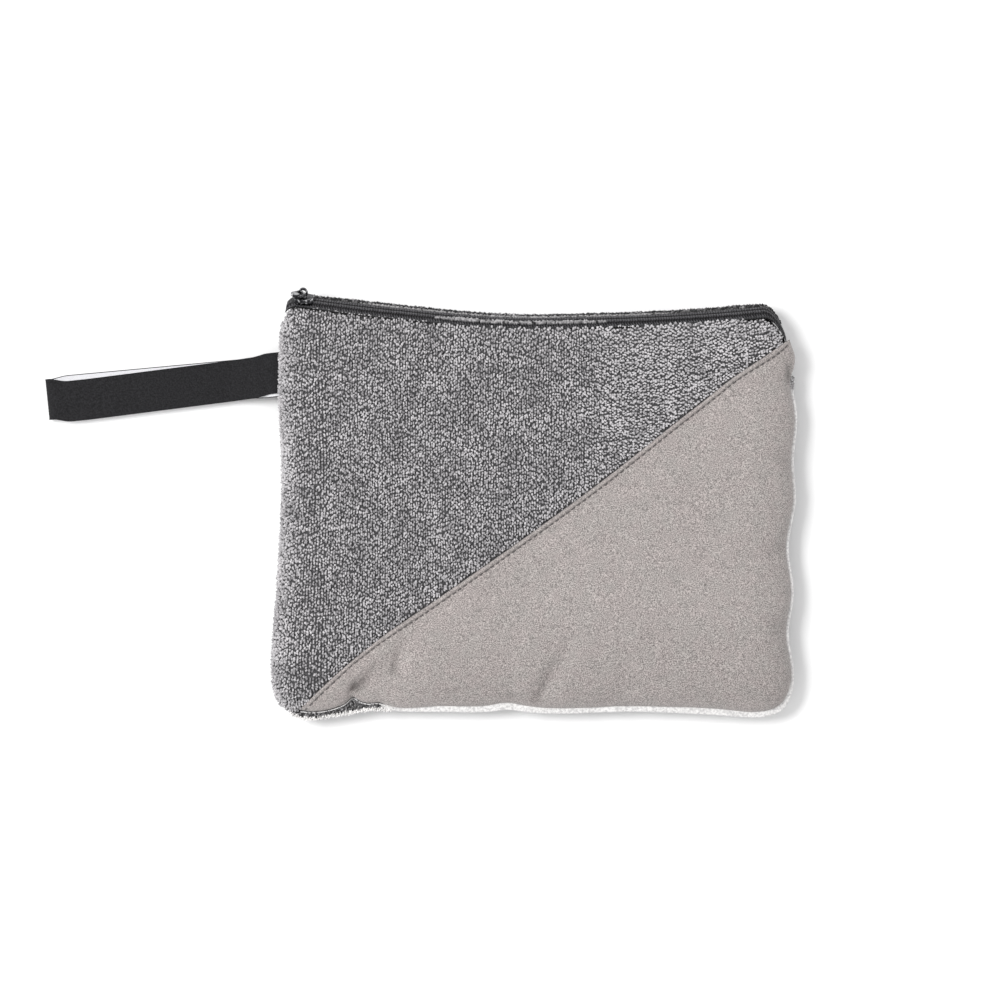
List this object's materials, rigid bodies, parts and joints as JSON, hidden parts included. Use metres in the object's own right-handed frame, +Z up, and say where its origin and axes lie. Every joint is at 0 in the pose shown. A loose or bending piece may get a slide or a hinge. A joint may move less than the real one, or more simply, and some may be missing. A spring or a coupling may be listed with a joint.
{
  "type": "quick dry travel towel in zipped pouch",
  "caption": "Microfibre travel towel folded into its own flat zipped pouch, with a terry and smooth diagonal front and a ribbon loop on the left seam.",
  "frame": {"origin": "on the flat face the pouch rests on, midway between its two side seams", "axes": "+X along the zipper from its closed end to its open end, +Y towards the zipper, +Z up out of the front panel"},
  "size_m": [0.3311, 0.1896, 0.0264],
  "materials": {
    "terry": "mid grey microfibre terry, short looped pile",
    "towel_terry": "mid grey microfibre terry, short looped pile",
    "smooth_knit": "taupe brushed knit, fine matte grain",
    "thread": "dark grey polyester sewing thread",
    "black_thread": "black polyester sewing thread",
    "piping": "off-white edge piping",
    "zipper_tape": "black woven zipper tape",
    "zipper_coil": "black nylon coil, slight sheen",
    "ribbon": "black woven ribbon, white on its reverse",
    "dark_metal": "gunmetal plated zinc, polished"
  },
  "bodies": {
    "pouch": {"front_terry_panel": "terry", "back_terry_panel": "terry", "front_smooth_panel": "smooth_knit", "diagonal_topstitch": "thread", "side_seam_thread": "thread", "edge_piping": "piping", "zipper_tape_front": "zipper_tape", "zipper_tape_back": "zipper_tape", "zipper_coil_front": "zipper_coil", "zipper_coil_back": "zipper_coil", "zipper_stitch_front": "thread", "zipper_stitch_back": "thread", "zipper_end_tack_left": "black_thread", "zipper_end_tack_right": "black_thread", "hang_loop_tail": "ribbon", "loop_tack": "black_thread", "folded_towel": "towel_terry"},
    "slider": {"slider_body": "dark_metal"},
    "pull_tab": {"pull_tab": "dark_metal"},
    "loop": {"hang_loop": "ribbon"}
  },
  "joints": [
    {"name": "zipper_travel", "type": "hinge", "parent": "pouch", "child": "slider", "pos_m": [0.0165, 0.88556, 0.0165], "axis": [0, 0, 1], "range_deg": [0, 14.37]},
    {"name": "tab_flip", "type": "hinge", "parent": "slider", "child": "pull_tab", "pos_m": [-0.10049, 0.09476, 0.0189], "axis": [0.0728, 0.4947, -0.866], "range_deg": [0, 135]},
    {"name": "loop_swing", "type": "hinge", "parent": "pouch", "child": "loop", "pos_m": [-0.11465, 0.0598, 0.012], "axis": [0, 1, 0], "range_deg": [0, 100]}
  ]
}
